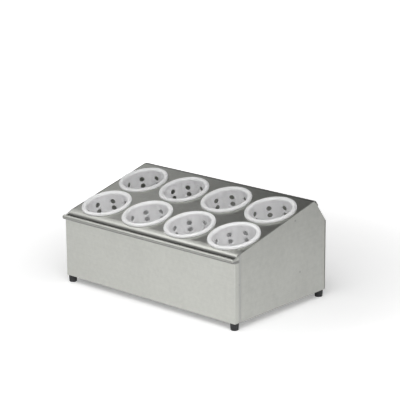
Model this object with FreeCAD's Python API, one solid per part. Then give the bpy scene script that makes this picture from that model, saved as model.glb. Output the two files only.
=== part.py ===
"""Countertop cutlery dispenser: a sheet-steel housing with a sloping top that carries lift-out cups.

Millimetres, +Z up. The origin is on the counter under the middle of the housing, X runs along the
front and the front faces -Y. The housing is worked out from the cups it carries, so a change of cup,
gap or slope moves every panel with it.
"""
import FreeCAD
import Part
import math
import os

Vector = FreeCAD.Vector

# ---- Cups ---------------------------------------------------------------------------------------
columns = 4                  # cups along the front
cup_inner_radius = 46.2      # at the throat, under the rim
cup_wall = 2.0
cup_depth = 131.0            # from the top panel down to the underside of the cup
cup_draft = 1.5              # degrees, each side
rim_overlap = 8.0            # how far the rim reaches past the panel hole
rim_height = 6.0             # crown of the rim above the panel
rim_crown_radius = 3.6       # rounding of the rim's outer edge
rim_throat_radius = 5.5      # rounding into the throat
rim_skirt_wall = 2.2
rim_seat_gap = 0.2           # between the rim's skirt and the panel
cup_heel_radius = 5.0        # outside rounding between wall and floor
hole_clearance = 0.8         # radial, between cup and panel hole
perforation_radius = 5.7
perforation_columns = 8
perforation_pitch = 16.0     # from ring to ring
perforation_start = 17.0     # first ring below the panel
perforation_stop = 12.0      # least distance from the last ring to the underside
drain_radius = 4.0
drain_rings = 2              # rings of holes in the floor, round the middle one
drain_hole_count_step = 6    # holes that each ring has more than the ring inside it
drain_pitch = 15.0           # from ring to ring
front_turns = (31.0, 6.0, 2.0, 12.0)      # degrees that each cup happens to be turned in its hole
rear_turns = (7.0, 35.0, 29.0, 2.0)

# ---- Layout of the top --------------------------------------------------------------------------
slope_angle = 14.0           # degrees, top panel from level
column_gap = 11.0            # between the rims of neighbours along the front
row_gap = 8.5                # between the rims of the two rows
side_margin = 5.5            # from rim to the side face
front_margin = 15.0          # from rim to the front plane, along the slope
rear_margin = 17.2           # from rim to the ridge, along the slope
floor_clearance = 22.5       # from the lowest cup to the bottom edge of the panels

# ---- Sheet metal --------------------------------------------------------------------------------
sheet = 1.2
weld_gap = 0.2               # between sheets that are welded face to face
bend_inside = 1.3            # inside radius of the ordinary bends
corner_return = 16.0         # front panel wrapped round onto the sides
hem_length = 20.0            # bottom flanges of the front and rear panels
chamfer_angle = 53.0         # degrees, rear chamfer from level
chamfer_run = 39.2           # level distance from the ridge to the rear face
bead_reach = 8.9             # rolled bead in front of the front panel
bead_drop = 1.5              # crown of the bead below the slope at the front plane
bead_open_angle = 65.0       # degrees of the roll left open behind its underside
bead_plug_length = 2.4       # closed ends of the bead
bead_plug_edge = 1.4         # rounding of their outer edge
edge_roll_radius = 2.0       # rounded edge along the top of each return
edge_roll_drop = 5.0         # its axis below the slope, at the front plane
edge_roll_clearance = 0.3    # between it and the top panel
trough_width = 8.0           # from the front plane back to the lip of the top panel
trough_bend_inside = 8.8
front_lip_length = 12.0
side_flange_length = 20.0
side_flange_end_gap = 6.0    # top panel's side flanges stop this far short of other bends
ridge_bend_inside = 6.8
rear_lip_length = 17.4
rear_lip_fold_gap = 0.9      # between the two layers of the folded rear lip
rear_lip_fold_flat = 0.1     # flat between the two bends of the fold
rear_lip_fold_length = 9.0
rear_lip_gap = 0.3           # between the folded lip and the chamfer
ridge_tuck = 6.0             # rear panel stops this far below the ridge
side_rear_flange = 14.0
joggle_run = 1.6             # length of the step from the side panel down to its welding tab
joggle_bend_inside = 0.6
seam_gap = 0.3               # between the edge of the return and the step

# ---- Feet and their screws ----------------------------------------------------------------------
foot_height = 16.0
foot_top_radius = 9.5
foot_bottom_radius = 8.4
foot_edge_radius = 1.2
foot_edge_margin = 0.3       # from the foot to the faces of the housing
screw_radius = 2.5
screw_clearance = 0.25
thread_clearance = 0.05
screw_head_radius = 4.6
screw_head_height = 3.2
screw_slot_width = 1.2
screw_slot_depth = 1.4
screw_tip = 2.0              # past the nut
washer_radius = 5.0
washer_thickness = 1.0
pocket_clearance = 0.3       # around the washer in the foot
foot_web = 6.0               # rubber between the washer and the housing
nut_sides = 6
nut_width = 8.0              # across flats
nut_height = 4.0

# ---- Worked out from the values above -----------------------------------------------------------
slope = math.radians(slope_angle)
chamfer = math.radians(chamfer_angle)
cup_outer_radius = cup_inner_radius + cup_wall
hole_radius = cup_outer_radius + hole_clearance
rim_outer_radius = hole_radius + rim_overlap
cup_floor_radius = cup_outer_radius - cup_depth * math.tan(math.radians(cup_draft))

cup_pitch = 2 * rim_outer_radius + column_gap
row_pitch = 2 * rim_outer_radius + row_gap
front_row = front_margin + rim_outer_radius
rear_row = front_row + row_pitch
slope_length = rear_row + rim_outer_radius + rear_margin
width = (columns - 1) * cup_pitch + 2 * (rim_outer_radius + side_margin)

cup_drop = cup_depth * math.cos(slope) + cup_floor_radius * math.sin(slope)
front_height = floor_clearance + cup_drop - front_row * math.sin(slope)
ridge_y = slope_length * math.cos(slope)
ridge_z = front_height + slope_length * math.sin(slope)
depth = ridge_y + chamfer_run
rear_height = ridge_z - chamfer_run * math.tan(chamfer)

half_width = width / 2
liner = sheet + weld_gap                   # from an outer face to the next sheet inside it
side_inner = half_width - liner            # where the sheets inside the side panels end
foot_inset = foot_top_radius + foot_edge_margin
side_bottom_flange = foot_inset + foot_top_radius + foot_edge_margin - sheet
hem_end = half_width - side_bottom_flange - 2 * sheet
corner_radius = bend_inside + sheet
bead_radius = (bead_reach + sheet) / 2
bead_y = sheet - bead_radius
bead_z = front_height - bead_drop - bead_radius
front_plane = -(depth - bead_reach) / 2    # Y of the front panel's outer face
bead_end = half_width - bead_plug_length   # where the rolled bead meets its closed end
edge_roll_x = half_width - edge_roll_radius
edge_roll_z = front_height - edge_roll_drop
edge_roll_end_z = front_height + corner_return * math.tan(slope) - edge_roll_radius / math.cos(slope)

same_place = 1e-6                          # two points nearer than this are one

# Housing coordinates (front plane at y = 0, lower edge of the panels at z = 0) to the part's frame,
# and slope coordinates (v up the slope, top face of the panel at z = 0) to the part's frame.
housing_place = FreeCAD.Placement(Vector(0, front_plane, foot_height), FreeCAD.Rotation())
slope_place = FreeCAD.Placement(
    Vector(0, front_plane, foot_height + front_height),
    FreeCAD.Rotation(Vector(1, 0, 0), slope_angle),
)


def moved(shape, placement):
    """The shape carried by a placement, on top of the one it has."""
    result = shape.copy()
    result.Placement = placement.multiply(result.Placement)
    return result


def left_normal(start, end):
    """Unit vector to the left of the run from start to end, as (a, b)."""
    run_a = end[0] - start[0]
    run_b = end[1] - start[1]
    length = math.hypot(run_a, run_b)
    return (-run_b / length, run_a / length)


def offset_path(points, distance):
    """An open path moved sideways to its right by a distance, with mitred corners."""
    normals = [left_normal(a, b) for a, b in zip(points, points[1:])]
    result = []
    for index, point in enumerate(points):
        before = normals[max(index - 1, 0)]
        after = normals[min(index, len(normals) - 1)]
        stretch = distance / (1 + before[0] * after[0] + before[1] * after[1])
        result.append((
            point[0] - stretch * (before[0] + after[0]),
            point[1] - stretch * (before[1] + after[1]),
        ))
    return result


def rounded_path(points, radii, lift):
    """Edges of an open path with an arc at each inner corner; lift turns (a, b) into a vector."""
    corners = [lift(*point) for point in points]
    edges = []
    start = corners[0]
    for corner, after, radius in zip(corners[1:-1], corners[2:], radii):
        back = (start - corner).normalize()
        ahead = (after - corner).normalize()
        half_angle = back.getAngle(ahead) / 2
        reach = radius / math.tan(half_angle)
        bisector = (back + ahead).normalize()
        middle = corner + bisector * (radius / math.sin(half_angle) - radius)
        arc_start = corner + back * reach
        arc_end = corner + ahead * reach
        edges.append(Part.makeLine(start, arc_start))
        edges.append(Part.Arc(arc_start, middle, arc_end).toShape())
        start = arc_end
    edges.append(Part.makeLine(start, corners[-1]))
    return edges


def bent_sheet(points, inside_radii, lift, sweep):
    """Sheet metal folded along a path and extruded by a vector.

    The path is the outer face, with the metal on its right. Each inner corner has an inside radius.
    """
    outer_radii = []
    inner_radii = []
    for before, corner, after, inside in zip(points, points[1:], points[2:], inside_radii):
        first = left_normal(before, corner)
        second = left_normal(corner, after)
        turns_right = first[0] * second[1] - first[1] * second[0] < 0
        outer_radii.append(inside + sheet if turns_right else inside)
        inner_radii.append(inside if turns_right else inside + sheet)
    inner_points = offset_path(points, sheet)
    outer = rounded_path(points, outer_radii, lift)
    inner = rounded_path(inner_points, inner_radii, lift)
    caps = [
        Part.makeLine(lift(*points[0]), lift(*inner_points[0])),
        Part.makeLine(lift(*points[-1]), lift(*inner_points[-1])),
    ]
    outline = Part.Wire(Part.__sortEdges__(outer + inner + caps))
    return Part.Face(outline).extrude(sweep)


def across(x):
    """Lift for a side-view path (y, z) that starts at x."""
    return lambda y, z: Vector(x, y, z)


def in_plan(z):
    """Lift for a plan-view path (x, y) that starts at z."""
    return lambda x, y: Vector(x, y, z)


def box(low, high):
    """Box between two corners."""
    size = [b - a for a, b in zip(low, high)]
    return Part.makeBox(*size, Vector(*low))


def mirrored(shape):
    """The shape reflected to the other side of the housing."""
    return shape.mirror(Vector(0, 0, 0), Vector(1, 0, 0))


def side_view_slab(corners):
    """Slab with the given (y, z) outline, wider than the housing."""
    wire = Part.makePolygon([Vector(-width, y, z) for y, z in corners + corners[:1]])
    return Part.Face(wire).extrude(Vector(2 * width, 0, 0))


def side_outline(inset):
    """Slab with the housing's side view, its rear and chamfer moved in by an inset."""
    rise = inset / math.cos(chamfer)
    rear = depth - inset
    chamfer_foot = rear_height - rise + inset * math.tan(chamfer)
    ridge_shift = inset / math.sin(slope + chamfer)
    top_y = ridge_y - ridge_shift * math.cos(slope)
    top_z = ridge_z - ridge_shift * math.sin(slope)
    return side_view_slab([(0, 0), (rear, 0), (rear, chamfer_foot), (top_y, top_z), (0, front_height)])


# ---- Panels -------------------------------------------------------------------------------------
def make_front_panel():
    """Front panel: rounded returns round both corners, bottom hem and a bead rolled outwards at the top."""
    plan = [
        (half_width, corner_return), (half_width, 0), (-half_width, 0), (-half_width, corner_return),
    ]
    wrap = bent_sheet(plan, [bend_inside] * 2, in_plan(0), Vector(0, 0, ridge_z))
    # The returns stop at the axis of their edge roll, and the sheet between the corners at the bead's.
    above = [(0, edge_roll_z), (corner_return, edge_roll_end_z), (corner_return, ridge_z), (0, ridge_z)]
    wrap = wrap.cut(side_view_slab(above))
    window_half = half_width - corner_radius
    window = box((-window_half, -1, bead_z), (window_half, corner_radius, ridge_z))
    wrap = wrap.cut(window)
    hem = box((-hem_end, 0, 0), (hem_end, hem_length, sheet))
    roll = make_edge_roll()
    panel = wrap.fuse([hem, make_bead(), roll, mirrored(roll)]).removeSplitter()
    return moved(panel, housing_place)


def make_edge_roll():
    """Closed right end of the bead, and the rounded top edge of the return from there up to the slope."""
    start = Vector(edge_roll_x, 0, edge_roll_z)
    run = Vector(edge_roll_x, corner_return, edge_roll_end_z) - start
    roll = Part.makeCylinder(edge_roll_radius, 2 * run.Length, start, run)
    roll = roll.common(box((0, 0, 0), (half_width, corner_return, ridge_z)))
    plug = Part.makeCylinder(bead_radius, bead_plug_length, Vector(bead_end, bead_y, bead_z), Vector(1, 0, 0))
    outer = [edge for edge in plug.Edges if edge.BoundBox.XMin > half_width - bead_plug_edge and edge.Closed]
    plug = plug.makeFillet(bead_plug_edge, outer)
    nose = Part.makeSphere(edge_roll_radius, start)
    return plug.fuse([roll, nose])


def make_bead():
    """Rolled edge: a nearly closed tube of sheet that springs from the panel's rear face."""
    open_half = math.radians(bead_open_angle)
    sweep_angle = 2 * math.pi - open_half

    def on_roll(radius, angle):
        return Vector(-bead_end, bead_y + radius * math.cos(angle), bead_z + radius * math.sin(angle))

    inner_radius = bead_radius - sheet
    arcs = [
        Part.Arc(*(on_roll(radius, share * sweep_angle) for share in (0, 0.5, 1))).toShape()
        for radius in (bead_radius, inner_radius)
    ]
    caps = [
        Part.makeLine(on_roll(inner_radius, angle), on_roll(bead_radius, angle))
        for angle in (0, sweep_angle)
    ]
    outline = Part.Wire(Part.__sortEdges__(arcs + caps))
    return Part.Face(outline).extrude(Vector(2 * bead_end, 0, 0))


def make_side_panel():
    """Right side panel: joggled tab behind the front return, rear flange and bottom flange."""
    step_y = corner_return + seam_gap
    step_end = step_y + joggle_run
    rear = depth - liner
    plan = [
        (half_width - side_rear_flange, rear), (half_width, rear), (half_width, step_end),
        (side_inner, step_y), (side_inner, liner + corner_radius),
    ]
    bends = [bend_inside, joggle_bend_inside, joggle_bend_inside]
    wall = bent_sheet(plan, bends, in_plan(0), Vector(0, 0, ridge_z))
    wall = wall.common(side_outline(liner))
    # The tab and its step stay below the lip of the top panel.
    tab_top = front_height - front_lip_length - 4 * sheet
    inner_face = half_width - sheet
    wall = wall.cut(box((0, 0, tab_top), (width, step_y, ridge_z)))
    wall = wall.cut(box((0, 0, tab_top), (inner_face, step_end + 2 * sheet, ridge_z)))
    flange_start = half_width - side_bottom_flange
    tab_face = side_inner - sheet
    flange = box((flange_start, corner_radius + liner, 0), (tab_face, rear - sheet, sheet))
    strip = box((tab_face, step_end, 0), (inner_face, rear - sheet, sheet))
    panel = wall.fuse(flange).fuse(strip)
    for y in (foot_inset, depth - foot_inset):
        bore = Part.makeCylinder(screw_radius + screw_clearance, 4 * sheet)
        bore.translate(Vector(half_width - foot_inset, y, -sheet))
        panel = panel.cut(bore)
    return moved(panel.removeSplitter(), housing_place)


def make_rear_panel():
    """Rear panel: upright, chamfer towards the ridge and bottom hem, over the side panels' flanges."""
    tuck_y = ridge_y + ridge_tuck * math.cos(chamfer)
    tuck_z = ridge_z - ridge_tuck * math.sin(chamfer)
    path = [(tuck_y, tuck_z), (depth, rear_height), (depth, 0), (depth - hem_length, 0)]
    panel = bent_sheet(path, [bend_inside] * 2, across(-half_width), Vector(width, 0, 0))
    for side in (-1, 1):
        ends = sorted((side * hem_end, side * width))
        notch = box((ends[0], depth - 2 * hem_length, -1), (ends[1], depth - sheet, 2 * corner_radius))
        panel = panel.cut(notch)
    return moved(panel, housing_place)


def rear_lip_path():
    """Outer face of the top panel behind the ridge bend, in housing coordinates."""
    fold = 2 * sheet + rear_lip_fold_gap
    proud = fold + rear_lip_gap
    shift = proud / math.sin(slope + chamfer)
    corner = (ridge_y + shift * math.cos(slope), ridge_z + shift * math.sin(slope))
    down = (math.cos(chamfer), -math.sin(chamfer))
    inward = (-math.sin(chamfer), -math.cos(chamfer))
    end = (corner[0] + rear_lip_length * down[0], corner[1] + rear_lip_length * down[1])
    turned = (end[0] + fold * inward[0], end[1] + fold * inward[1])
    tip = (turned[0] - rear_lip_fold_length * down[0], turned[1] - rear_lip_fold_length * down[1])
    return [corner, end, turned, tip]


def make_top_panel():
    """Top panel: one hole per cup, lips at the front and rear, flanges inside the side panels.

    Its front corners are cut back from the rounded edges of the front panel's returns.
    """
    lip_z = front_height + trough_width * math.tan(slope)
    path = [(trough_width, lip_z - front_lip_length), (trough_width, lip_z)] + rear_lip_path()
    fold_inside = (rear_lip_fold_gap - rear_lip_fold_flat) / 2
    bends = [trough_bend_inside, ridge_bend_inside, fold_inside, fold_inside]
    skin = bent_sheet(path, bends, across(-side_inner), Vector(2 * side_inner, 0, 0))
    skin = moved(skin, housing_place)

    start = corner_return / math.cos(slope) + side_flange_end_gap
    end = slope_length - side_flange_end_gap
    strip = box((side_inner - corner_radius, start, -2 * sheet), (width, end, sheet))
    fold = bent_sheet(
        [(side_inner - 2 * corner_radius, 0), (side_inner, 0), (side_inner, -side_flange_length)],
        [bend_inside],
        lambda x, z: Vector(x, start, z),
        Vector(0, end - start, 0),
    )
    for shape in (strip, mirrored(strip)):
        skin = skin.cut(moved(shape, slope_place))
    for shape in (fold, mirrored(fold)):
        skin = skin.fuse(moved(shape, slope_place))
    corner_x = edge_roll_x - edge_roll_radius - edge_roll_clearance
    corner = box((corner_x, -depth, 0), (width, corner_return + seam_gap, ridge_z))
    for shape in (corner, mirrored(corner)):
        skin = skin.cut(moved(shape, housing_place))
    holes = [
        moved(Part.makeCylinder(hole_radius, 4 * sheet, Vector(x, v, -2 * sheet)), slope_place)
        for x, v in cup_centres()
    ]
    return skin.removeSplitter().cut(Part.makeCompound(holes))


# ---- Cups ---------------------------------------------------------------------------------------
def column_x(index):
    """X of a column of cups, counted from the left."""
    return (index - (columns - 1) / 2) * cup_pitch


def cup_centres():
    """Places of the cups on the slope, front row first, as (x, v)."""
    return [(column_x(index), row) for row in (front_row, rear_row) for index in range(columns)]


def cup_profile():
    """Half section of the cup about its axis, with z = 0 on the panel."""
    draft = math.tan(math.radians(cup_draft))
    floor_top = cup_wall - cup_depth
    under_rim = rim_height - cup_wall
    inner_floor_radius = cup_inner_radius - (cup_depth - cup_wall) * draft
    inner_heel = cup_heel_radius - cup_wall
    skirt_inner = rim_outer_radius - rim_skirt_wall
    bend = math.sqrt(0.5)

    def point(r, z):
        return Vector(r, 0, z)

    def corner_arc(centre_r, centre_z, radius, start, middle, end):
        places = [point(centre_r + radius * a, centre_z + radius * b) for a, b in (start, middle, end)]
        return Part.Arc(*places).toShape()

    crown = corner_arc(
        rim_outer_radius - rim_crown_radius, rim_height - rim_crown_radius, rim_crown_radius,
        (1, 0), (bend, bend), (0, 1),
    )
    throat = corner_arc(
        cup_inner_radius + rim_throat_radius, rim_height - rim_throat_radius, rim_throat_radius,
        (0, 1), (-bend, bend), (-1, 0),
    )
    inside_heel = corner_arc(
        inner_floor_radius - inner_heel, floor_top + inner_heel, inner_heel,
        (1, 0), (bend, -bend), (0, -1),
    )
    under_throat = corner_arc(
        cup_inner_radius + rim_throat_radius, rim_height - rim_throat_radius, rim_throat_radius - cup_wall,
        (-1, 0), (-bend, bend), (0, 1),
    )
    outside_heel = corner_arc(
        cup_floor_radius - cup_heel_radius, cup_heel_radius - cup_depth, cup_heel_radius,
        (0, -1), (bend, -bend), (1, 0),
    )
    chain = [
        point(rim_outer_radius, rim_seat_gap), crown, throat, inside_heel, point(0, floor_top),
        point(0, -cup_depth), outside_heel, under_throat,
        point(skirt_inner, under_rim), point(skirt_inner, rim_seat_gap),
        point(rim_outer_radius, rim_seat_gap),
    ]
    return closed_outline(chain)


def closed_outline(chain):
    """Wire through a chain of points and edges, joined by straight lines where their ends differ."""
    edges = []
    last = chain[0]
    for item in chain[1:]:
        is_point = isinstance(item, Vector)
        start = item if is_point else item.valueAt(item.FirstParameter)
        if last.distanceToPoint(start) > same_place:
            edges.append(Part.makeLine(last, start))
        if not is_point:
            edges.append(item)
        last = item if is_point else item.valueAt(item.LastParameter)
    return Part.Wire(edges)


def make_cup_blank():
    """A cup on its own axis, with its perforated wall and floor."""
    blank = Part.Face(cup_profile()).revolve(Vector(0, 0, 0), Vector(0, 0, 1), 360)
    rings = int((cup_depth - perforation_start - perforation_stop) // perforation_pitch) + 1
    tools = []
    for ring in range(rings):
        height = -perforation_start - ring * perforation_pitch
        for column in range(perforation_columns):
            angle = math.radians(column * 360 / perforation_columns)
            outward = Vector(math.cos(angle), math.sin(angle), 0)
            start = outward * (cup_inner_radius / 2) + Vector(0, 0, height)
            tools.append(Part.makeCylinder(perforation_radius, cup_outer_radius, start, outward))
    for ring in range(drain_rings + 1):
        count = max(1, ring * drain_hole_count_step)
        ring_radius = ring * drain_pitch
        for index in range(count):
            angle = math.radians(index * 360 / count)
            place = Vector(ring_radius * math.cos(angle), ring_radius * math.sin(angle), -2 * cup_depth)
            tools.append(Part.makeCylinder(drain_radius, cup_depth + 2 * cup_wall, place))
    return blank.cut(Part.makeCompound(tools))


def place_cup(blank, x, v, turn):
    """A cup turned about its axis and set into its hole."""
    stand = FreeCAD.Placement(Vector(x, v, 0), FreeCAD.Rotation(Vector(0, 0, 1), turn))
    return moved(blank, slope_place.multiply(stand))


# ---- Feet ---------------------------------------------------------------------------------------
def foot_corners():
    """Names and places of the four feet, in the part's frame."""
    near = front_plane + foot_inset
    far = front_plane + depth - foot_inset
    reach = half_width - foot_inset
    return [
        ("front_left", -reach, near), ("front_right", reach, near),
        ("rear_left", -reach, far), ("rear_right", reach, far),
    ]


def make_foot():
    """Tapered rubber foot with a pocket from below for the screw's head and washer."""
    body = Part.makeCone(foot_bottom_radius, foot_top_radius, foot_height)
    rim = [edge for edge in body.Edges if edge.BoundBox.ZMax < foot_height / 2 and edge.Closed]
    body = body.makeFillet(foot_edge_radius, rim)
    bore = Part.makeCylinder(screw_radius + screw_clearance, foot_height)
    pocket = Part.makeCylinder(washer_radius + pocket_clearance, foot_height - foot_web)
    return body.cut(bore.fuse(pocket))


def make_screw():
    """Slotted pan-head screw, head down, with z = 0 on the counter."""
    head_top = foot_height - foot_web - washer_thickness
    length = foot_height + sheet + nut_height + screw_tip - head_top
    head = Part.makeCylinder(screw_head_radius, screw_head_height, Vector(0, 0, head_top - screw_head_height))
    lower = [edge for edge in head.Edges if edge.BoundBox.ZMax < head_top - screw_head_height / 2]
    head = head.makeFillet(screw_head_height / 3, [edge for edge in lower if edge.Closed])
    shank = Part.makeCylinder(screw_radius, length, Vector(0, 0, head_top))
    slot_low = head_top - screw_head_height
    slot = box(
        (-2 * screw_head_radius, -screw_slot_width / 2, slot_low - screw_slot_depth),
        (2 * screw_head_radius, screw_slot_width / 2, slot_low + screw_slot_depth),
    )
    return head.fuse(shank).removeSplitter().cut(slot)


def make_washer():
    """Flat washer between the screw's head and the rubber."""
    low = Vector(0, 0, foot_height - foot_web - washer_thickness)
    disc = Part.makeCylinder(washer_radius, washer_thickness, low)
    return disc.cut(Part.makeCylinder(screw_radius + screw_clearance, washer_thickness, low))


def make_nut():
    """Hexagon nut on top of the side panel's bottom flange."""
    corner = nut_width / 2 / math.cos(math.pi / nut_sides)
    points = []
    for step in range(nut_sides + 1):
        angle = 2 * math.pi * step / nut_sides
        points.append(Vector(corner * math.cos(angle), corner * math.sin(angle), foot_height + sheet))
    body = Part.Face(Part.makePolygon(points)).extrude(Vector(0, 0, nut_height))
    return body.cut(Part.makeCylinder(screw_radius + thread_clearance, 2 * foot_height + nut_height))


def build():
    """All the pieces by node name."""
    side = make_side_panel()
    parts = {
        "front_panel": make_front_panel(),
        "side_panel_right": side,
        "side_panel_left": mirrored(side),
        "rear_panel": make_rear_panel(),
        "top_panel": make_top_panel(),
    }
    blank = make_cup_blank()
    for row_name, row, turns in (("front", front_row, front_turns), ("rear", rear_row, rear_turns)):
        for index in range(columns):
            turn = turns[index % len(turns)]
            parts[f"cup_{row_name}_{index + 1}"] = place_cup(blank, column_x(index), row, turn)
    makers = {"foot": make_foot, "foot_screw": make_screw, "foot_washer": make_washer, "foot_nut": make_nut}
    for name, maker in makers.items():
        piece = maker()
        for corner, x, y in foot_corners():
            place = FreeCAD.Placement(Vector(x, y, 0), FreeCAD.Rotation())
            parts[f"{name}_{corner}"] = moved(piece, place)
    return parts


os.makedirs("parts", exist_ok=True)
for node, shape in build().items():
    shape.exportStep(f"parts/{node}.step")
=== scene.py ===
"""Looks of the countertop cutlery dispenser: brushed steel housing, white moulded cups, rubber feet."""
import math

import bpy
from mathutils import Matrix, Vector


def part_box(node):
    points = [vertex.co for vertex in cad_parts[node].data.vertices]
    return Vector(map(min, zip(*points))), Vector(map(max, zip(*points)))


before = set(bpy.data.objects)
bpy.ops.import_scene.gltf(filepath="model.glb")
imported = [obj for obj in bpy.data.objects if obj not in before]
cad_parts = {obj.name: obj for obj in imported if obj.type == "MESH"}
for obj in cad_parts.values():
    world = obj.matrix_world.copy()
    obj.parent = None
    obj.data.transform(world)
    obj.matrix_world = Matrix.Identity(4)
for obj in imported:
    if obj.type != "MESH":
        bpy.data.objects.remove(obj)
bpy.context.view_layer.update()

# ---- Camera -------------------------------------------------------------------------------------
CAMERA_PLACE = (2.3573, -2.57785, 1.2008)
CAMERA_AZIMUTH = 42.152        # degrees from the front towards the right side
CAMERA_ELEVATION = 15.917
CAMERA_ROLL = -0.429
CAMERA_LENS = 149.71           # millimetres
CAMERA_SENSOR = 36             # its width, millimetres
CAMERA_REACH = 100             # metres

# ---- Colours (linear) ---------------------------------------------------------------------------
STEEL = (0.557, 0.563, 0.529, 1)
STEEL_SHADE = (0.496, 0.501, 0.471, 1)
SIDE_STEEL_PAINTED_DARKER = (0.512, 0.518, 0.489, 1)    # painted shade: the side sheets are painted a little darker than the others
SIDE_STEEL_SHADE_PAINTED_DARKER = (0.451, 0.456, 0.431, 1)
WELD_TINT = (0.33, 0.33, 0.32, 1)
PAINTED_BEAD_SHADE = (0.22, 0.22, 0.215, 1)      # painted shade under the rolled bead
PAINTED_BEAD_SHADE_SHARE = 0.9                   # how much of it shows there
PAINTED_SEAM_SHADE = (0.4, 0.4, 0.39, 1)         # painted shade at the seams of the front panel's returns
PAINTED_BEND_SHADE = (0.29, 0.29, 0.28, 1)       # painted shade in the trough and along the ridge bend
CUP_WHITE = (0.96, 0.96, 0.965, 1)
CUP_SHADE = (0.94, 0.94, 0.95, 1)
RUBBER = (0.022, 0.022, 0.024, 1)
RUBBER_DUST = (0.06, 0.06, 0.062, 1)
ZINC = (0.55, 0.55, 0.54, 1)
ZINC_STAIN = (0.33, 0.33, 0.32, 1)
FLOOR_WHITE = (0.86, 0.86, 0.86, 1)

# ---- Grain of the finishes, in noise cells per metre --------------------------------------------
GRAIN_SCALE = (16.0, 1300.0)             # along the brushing and across it
STREAK_SCALE = (5.0, 260.0)
CLOUD_SCALE = 9.0
MOTTLE_SCALE = 110.0
CUP_MOTTLE_SCALE = 35.0
CUP_SCUFF_SCALE = (60.0, 60.0, 420.0)    # on X, Y and Z: the scuffs lie round the cup
DUST_SCALE = 160.0
PORE_SCALE = 1900.0
STAIN_SCALE = 240.0

# ---- Depths of the finishes, metres -------------------------------------------------------------
GRAIN_DEPTH = 0.00006
WELD_DENT = 2.0                          # a weld's dent, in grain depths
MOULDED_DEPTH = 0.0002                   # unevenness of the cups, the rubber and the plated steel
ROLL_OFF_DROP = 0.0021
CUP_LIGHT_DEPTH = {"front": 0.006, "rear": 0.0088}       # how far light travels in each row's plastic

# ---- Places on the housing, metres --------------------------------------------------------------
HEM = 0.02                               # bottom hem of the front panel, from its face to the rear
SIDE_WELDS = ((0.0489, 0.1949), (0.0667, 0.0771))        # (Y, Z) of the welds that show on a side panel
RETURN_WELD = (0.0140, 0.0990)           # and of one on each return, with Y from the front face
WELD_RADIUS = (0.0014, 0.0030)           # a weld's mark is whole inside the first and gone at the second
ROLL_OFF = (0.0, 0.020)                  # the top panel eases into its front bend, from its edge
PAINTED_TROUGH_SHADE_TOP = (0.1574, 0.1600)            # Z over which the painted shade in the trough fades out

# Bands of painted shade: each grows over its first stretch and fades over its second.
PAINTED_BEAD_SHADE_BAND = (0.1450, 0.1475), (0.1510, 0.1535)           # Z, painted shade under the rolled bead
PAINTED_RIDGE_SHADE_BAND = (0.1085, 0.1135), (0.1165, 0.1195)          # Y, painted shade on the ridge bend
PAINTED_SEAM_SHADE_BAND = (0.009, 0.0168), (0.0172, 0.021)             # Y from the front face, painted shade at the returns' seams

# ---- Floor and light, metres --------------------------------------------------------------------
FLOOR_HALF_WIDTH = 12.0
FLOOR_LIFT = (0.23, 0.23, 0.23, 1)       # brings the lit floor round the object to white
FAR_FLOOR_LIFT = (1, 1, 1, 1)            # and the floor that the lamps don't reach
LIT_FLOOR = (0.3, 1.3)                   # from the first lift to the second, by distance from the object
BACKDROP_WHITE = (1, 1, 1, 1)
OVERHEAD_HEIGHT = 1.7
WALL_DISTANCE = 3.0
WALL_LAMP_SIZE = (2.48, 0.85)            # width and height
WALL_LAMP_HEIGHT = 1.275                 # of its middle
OVERHEAD_LAMPS = {             # X from and to, Y from and to, brightness
    "front_right": (0.0, 2.0, -2.5, -0.5, 3.0),
    "right": (0.0, 2.0, -0.5, 0.5, 1.3),
    "front_middle": (-1.0, 0.0, -2.5, -0.5, 1.3),
    "near_left": (-1.35, -1.0, -1.5, 0.5, 2.8),
    "front_left": (-1.7, -1.35, -1.5, 0.5, 1.5),
    "far_left": (-2.5, -1.7, -1.5, 0.5, 0.65),
    "rear_left": (-3.0, -2.0, 1.1, 2.5, 0.8),
    "rear_right": (0.3, 2.0, 1.0, 2.4, 0.5),
}
WALL_LAMPS = {                 # degrees from the right towards the rear, brightness
    "wall_right": (0, 1.15),
    "wall_rear_left": (135, 0.6),
    "wall_left": (180, 0.8),
    "wall_front_left": (225, 0.9),
    "wall_front_right": (315, 3.2),
}


def make_camera():
    """Camera from its place, its two angles and its roll."""
    azimuth, elevation, roll = (
        math.radians(a) for a in (CAMERA_AZIMUTH, CAMERA_ELEVATION, CAMERA_ROLL)
    )
    back = Vector((
        math.sin(azimuth) * math.cos(elevation),
        -math.cos(azimuth) * math.cos(elevation),
        math.sin(elevation),
    ))
    level = Vector((math.cos(azimuth), math.sin(azimuth), 0))
    upright = back.cross(level)
    right = level * math.cos(roll) + upright * math.sin(roll)
    up = upright * math.cos(roll) - level * math.sin(roll)
    data = bpy.data.cameras.new("camera")
    data.sensor_width = CAMERA_SENSOR
    data.lens = CAMERA_LENS
    data.clip_end = CAMERA_REACH
    camera = bpy.data.objects.new("camera", data)
    bpy.context.scene.collection.objects.link(camera)
    turn = Matrix((right, up, back)).transposed().to_4x4()
    camera.matrix_world = Matrix.Translation(CAMERA_PLACE) @ turn
    bpy.context.scene.camera = camera


# ---- Shader expressions -------------------------------------------------------------------------
class Flow:
    """A shader socket in a Python expression: numbers and other sockets add Math nodes."""

    def __init__(self, finish, socket):
        self.finish = finish
        self.socket = socket

    def math(self, operation, *values):
        return self.finish.node("ShaderNodeMath", {"operation": operation}, *values)

    def __add__(self, other):
        return self.math("ADD", self, other)

    __radd__ = __add__

    def __sub__(self, other):
        return self.math("SUBTRACT", self, other)

    def __rsub__(self, other):
        return self.math("SUBTRACT", other, self)

    def __mul__(self, other):
        return self.math("MULTIPLY", self, other)

    __rmul__ = __mul__

    def between(self, low, high):
        """0 below low, 1 above high, smooth in between."""
        settings = {"interpolation_type": "SMOOTHSTEP"}
        return self.finish.node("ShaderNodeMapRange", settings, self, low, high)


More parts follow.
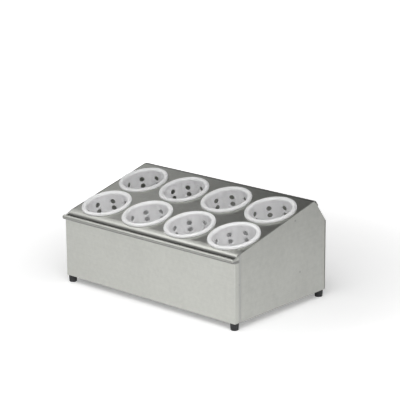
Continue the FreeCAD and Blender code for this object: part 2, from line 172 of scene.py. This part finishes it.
class Finish:
    """A material or world in the making."""

    def __init__(self, owner):
        self.owner = owner
        owner.use_nodes = True
        self.tree = owner.node_tree
        self.tree.nodes.clear()

    def node(self, kind, settings=None, *inputs, output=0, **named):
        """Adds a node, sets it, then gives its sockets values or links, by order or by name."""
        made = self.tree.nodes.new(kind)
        for key, value in (settings or {}).items():
            setattr(made, key, value)
        by_name = {key.replace("_", " "): value for key, value in named.items()}
        for key, value in list(enumerate(inputs)) + list(by_name.items()):
            if isinstance(value, Flow):
                self.tree.links.new(value.socket, made.inputs[key])
            elif value is not None:
                made.inputs[key].default_value = value
        return Flow(self, made.outputs[output] if made.outputs else None)

    def place(self):
        """Position in the frame of the part, in metres."""
        return self.node("ShaderNodeTexCoord", output="Object")

    def axis(self, name):
        """One coordinate of that position, by its letter."""
        return self.node("ShaderNodeSeparateXYZ", None, self.place(), output=name)

    def stretched(self, scales):
        """Position with each axis multiplied by its own scale."""
        settings = {"operation": "MULTIPLY"}
        return self.node("ShaderNodeVectorMath", settings, self.place(), scales)

    def noise(self, vector, scale, detail, roughness):
        """Noise from 0 to 1."""
        return self.node(
            "ShaderNodeTexNoise", None, Vector=vector, Scale=scale, Detail=detail, Roughness=roughness,
        )

    def brushing(self, along, scales):
        """Noise drawn out along one axis, by its scales along that axis and across it."""
        stretch = tuple(scales[0] if axis == along else scales[1] for axis in "XYZ")
        return self.noise(self.stretched(stretch), scale=1.0, detail=3.0, roughness=0.6)

    def band(self, axis, grows, fades, start=0.0):
        """1 in a band of one coordinate and 0 outside it, with soft edges measured from a start."""
        reached, left = (
            self.axis(axis).between(start + low, start + high) for low, high in (grows, fades)
        )
        return reached * (1 - left)

    def mixed(self, factor, first, second):
        """Colour from first to second by a factor."""
        skipped = [None] * 5             # the Mix node's sockets for numbers and vectors
        settings = {"data_type": "RGBA"}
        return self.node("ShaderNodeMix", settings, factor, *skipped, first, second, output=2)

    def bump(self, height, strength, distance, normal=None):
        """Normal tilted by a height, on top of another normal if there is one."""
        return self.node(
            "ShaderNodeBump", None, Strength=strength, Distance=distance, Height=height, Normal=normal,
        )

    def ray(self, kind):
        """1 for rays of a kind and 0 for the others."""
        return self.node("ShaderNodeLightPath", output=f"Is {kind} Ray")

    def surface(self, shader):
        """Sends a shader to the output."""
        is_world = isinstance(self.owner, bpy.types.World)
        self.node("ShaderNodeOutputWorld" if is_world else "ShaderNodeOutputMaterial", None, shader)
        return self.owner


def new_finish(name):
    """Material in the making, by its name."""
    return Finish(bpy.data.materials.new(name))


# ---- Finishes -----------------------------------------------------------------------------------
def brushed_steel(
    name, along, colours=(STEEL_SHADE, STEEL), welds=(), bead=False, seam=None, front_edge=None,
):
    """Satin sheet steel, brushed along X or Y.

    colours: of its darker and lighter patches.
    welds: places of the spot welds that show on the sheet.
    bead: True paints shade on the underside of the rolled bead.
    seam: Y of the front face, for the painted shade at the seams of the returns.
    front_edge: Y of the top sheet's front edge, for the ease into its bend, and for the painted shade in
    the trough and along the ridge bend.
    """
    finish = new_finish(name)
    grain = finish.brushing(along, GRAIN_SCALE)
    streaks = finish.brushing(along, STREAK_SCALE)
    clouds = finish.noise(finish.place(), CLOUD_SCALE, detail=4.0, roughness=0.6)
    mottle = finish.noise(finish.place(), MOTTLE_SCALE, detail=2.0, roughness=0.5)
    patches = streaks * 0.2 + clouds * 0.35 + mottle * 0.35 + grain * 0.1
    colour = finish.mixed(patches.between(0.33, 0.67), *colours)
    height = grain
    for weld in welds:
        distance = finish.node(
            "ShaderNodeVectorMath", {"operation": "DISTANCE"}, finish.place(), weld, output="Value",
        )
        mark = 1 - distance.between(*WELD_RADIUS)
        colour = finish.mixed(mark, colour, WELD_TINT)
        height = height - mark * WELD_DENT
    if bead:
        # painted shade on the underside of the rolled bead
        colour = finish.mixed(finish.band("Z", *PAINTED_BEAD_SHADE_BAND) * PAINTED_BEAD_SHADE_SHARE, colour, PAINTED_BEAD_SHADE)
    if seam is not None:
        # painted shade at the seams of the front panel's returns
        colour = finish.mixed(finish.band("Y", *PAINTED_SEAM_SHADE_BAND, start=seam), colour, PAINTED_SEAM_SHADE)
    eased = None
    if front_edge is not None:
        rise = finish.axis("Y").between(*(front_edge + reach for reach in ROLL_OFF))
        eased = finish.bump(rise, 1.0, ROLL_OFF_DROP)
        # painted shade in the trough and along the ridge bend
        trough = 1 - finish.axis("Z").between(*PAINTED_TROUGH_SHADE_TOP)
        for bend in (trough, finish.band("Y", *PAINTED_RIDGE_SHADE_BAND)):
            colour = finish.mixed(bend, colour, PAINTED_BEND_SHADE)
    shader = finish.node(
        "ShaderNodeBsdfPrincipled", None, Base_Color=colour, Metallic=1.0,
        Roughness=0.28 + grain * 0.08 + clouds * 0.06,
        Normal=finish.bump(height, 0.1, GRAIN_DEPTH, eased),
    )
    return finish.surface(shader)


def cup_plastic(name, light_depth):
    """White moulded plastic with a slight sheen and faint scuffs, into which light travels a little."""
    finish = new_finish(name)
    mottle = finish.noise(finish.place(), CUP_MOTTLE_SCALE, detail=3.0, roughness=0.6)
    scuffs = finish.noise(finish.stretched(CUP_SCUFF_SCALE), scale=1.0, detail=4.0, roughness=0.7)
    shader = finish.node(
        "ShaderNodeBsdfPrincipled", None,
        Base_Color=finish.mixed(mottle.between(0.3, 0.7), CUP_SHADE, CUP_WHITE),
        Roughness=0.3 + scuffs.between(0.45, 0.75) * 0.14, IOR=1.49,
        Subsurface_Weight=1.0, Subsurface_Scale=light_depth, Subsurface_Radius=(1.0, 1.0, 1.0),
        Normal=finish.bump(mottle + scuffs * 0.3, 0.08, MOULDED_DEPTH),
    )
    return finish.surface(shader)


def foot_rubber():
    """Black moulded rubber, a little dusty."""
    finish = new_finish("foot_rubber")
    dust = finish.noise(finish.place(), DUST_SCALE, detail=5.0, roughness=0.65)
    pores = finish.noise(finish.place(), PORE_SCALE, detail=2.0, roughness=0.5)
    shader = finish.node(
        "ShaderNodeBsdfPrincipled", None,
        Base_Color=finish.mixed(dust.between(0.5, 0.8), RUBBER, RUBBER_DUST),
        Roughness=0.55 + dust * 0.2,
        Normal=finish.bump(pores + dust, 0.25, MOULDED_DEPTH),
    )
    return finish.surface(shader)


def plated_steel():
    """Plain plated steel of the foot screws, washers and nuts."""
    finish = new_finish("plated_steel")
    stain = finish.noise(finish.place(), STAIN_SCALE, detail=4.0, roughness=0.6)
    shader = finish.node(
        "ShaderNodeBsdfPrincipled", None, Metallic=1.0,
        Base_Color=finish.mixed(stain.between(0.4, 0.7), ZINC, ZINC_STAIN),
        Roughness=0.3 + stain * 0.2,
        Normal=finish.bump(stain, 0.15, MOULDED_DEPTH),
    )
    return finish.surface(shader)


def apply_finish(name, material):
    """Gives a CAD node its finish."""
    for material_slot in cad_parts[name].material_slots:
        material_slot.material = material


def dress_housing():
    """Brushed steel on the five sheets, each with what shows on it."""
    front_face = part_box("front_panel")[1].y - HEM
    side_faces = {"left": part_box("side_panel_left")[0].x, "right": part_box("side_panel_right")[1].x}
    weld_y, weld_z = RETURN_WELD
    welds = [(face, front_face + weld_y, weld_z) for face in side_faces.values()]
    front = brushed_steel("steel_front_painted_shade", "X", welds=welds, bead=True, seam=front_face)
    apply_finish("front_panel", front)
    apply_finish("rear_panel", brushed_steel("steel_rear", "X"))
    apply_finish("top_panel", brushed_steel("steel_top_painted_shade", "X", front_edge=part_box("top_panel")[0].y))
    for side, face in side_faces.items():
        welds = [(face, y, z) for y, z in SIDE_WELDS]
        # painted shade: the side sheets take the steel colours painted a little darker
        steel = brushed_steel(f"steel_{side}", "Y", (SIDE_STEEL_SHADE_PAINTED_DARKER, SIDE_STEEL_PAINTED_DARKER), welds, seam=front_face)
        apply_finish(f"side_panel_{side}", steel)


def dress_cups_and_feet():
    """Moulded plastic on the cups, by row, rubber on the feet and plated steel on their fasteners."""
    finishes = dict.fromkeys(("foot_screw", "foot_washer", "foot_nut"), plated_steel())
    finishes.update(dict.fromkeys(("foot_front", "foot_rear"), foot_rubber()))
    for row, light_depth in CUP_LIGHT_DEPTH.items():
        finishes[f"cup_{row}"] = cup_plastic(f"cup_plastic_{row}", light_depth)
    for start, material in finishes.items():
        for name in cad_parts:
            if name.startswith(start):
                apply_finish(name, material)


# ---- Studio -------------------------------------------------------------------------------------
def make_floor():
    """Pale floor that keeps the object's shadow and shows as white to the camera."""
    mesh = bpy.data.meshes.new("floor")
    reach = FLOOR_HALF_WIDTH
    corners = [(-reach, -reach, 0), (reach, -reach, 0), (reach, reach, 0), (-reach, reach, 0)]
    mesh.from_pydata(corners, [], [(0, 1, 2, 3)])
    floor = bpy.data.objects.new("floor", mesh)
    bpy.context.scene.collection.objects.link(floor)
    finish = new_finish("floor")
    matt = finish.node("ShaderNodeBsdfDiffuse", None, FLOOR_WHITE)
    from_middle = finish.node(
        "ShaderNodeVectorMath", {"operation": "LENGTH"}, finish.place(), output="Value",
    )
    lift = finish.mixed(from_middle.between(*LIT_FLOOR), FLOOR_LIFT, FAR_FLOOR_LIFT)
    reflected = finish.ray("Glossy") + finish.ray("Transmission")
    in_metal = finish.node("ShaderNodeEmission", None, FLOOR_LIFT)
    to_camera = finish.node("ShaderNodeEmission", None, lift)
    glow = finish.node("ShaderNodeMixShader", None, reflected, None, in_metal)
    glow = finish.node("ShaderNodeMixShader", None, finish.ray("Camera"), glow, to_camera)
    mesh.materials.append(finish.surface(finish.node("ShaderNodeAddShader", None, matt, glow)))


def make_world():
    """White to the camera and dark to the object, which only the lamps light."""
    world = bpy.data.worlds.new("studio")
    bpy.context.scene.world = world
    finish = Finish(world)
    white = finish.node("ShaderNodeBackground", None, BACKDROP_WHITE, 1.0)
    finish.surface(finish.node("ShaderNodeMixShader", None, finish.ray("Camera"), None, white))


def make_softbox(name, place, target, size, brightness):
    """Rectangular area lamp that faces a target; a brightness of 1 is white."""
    data = bpy.data.lights.new(name, "AREA")
    data.shape = "RECTANGLE"
    data.size, data.size_y = size
    data.energy = math.pi * size[0] * size[1] * brightness
    lamp = bpy.data.objects.new(name, data)
    bpy.context.scene.collection.objects.link(lamp)
    lamp.location = place
    lamp.rotation_euler = (Vector(target) - Vector(place)).to_track_quat("-Z", "Y").to_euler()


def make_lamps():
    """Softboxes overhead, which face down, and round the walls, which face the object."""
    for name, (x_from, x_to, y_from, y_to, brightness) in OVERHEAD_LAMPS.items():
        middle = Vector(((x_from + x_to) / 2, (y_from + y_to) / 2, OVERHEAD_HEIGHT))
        size = (x_to - x_from, y_to - y_from)
        make_softbox(name, middle, middle - Vector((0, 0, 1)), size, brightness)
    for name, (azimuth, brightness) in WALL_LAMPS.items():
        turn = math.radians(azimuth)
        place = (WALL_DISTANCE * math.cos(turn), WALL_DISTANCE * math.sin(turn), WALL_LAMP_HEIGHT)
        make_softbox(name, place, (0, 0, WALL_LAMP_HEIGHT), WALL_LAMP_SIZE, brightness)


make_camera()
dress_housing()
dress_cups_and_feet()
make_floor()
make_world()
make_lamps()

bpy.context.scene.view_settings.view_transform = "Standard"
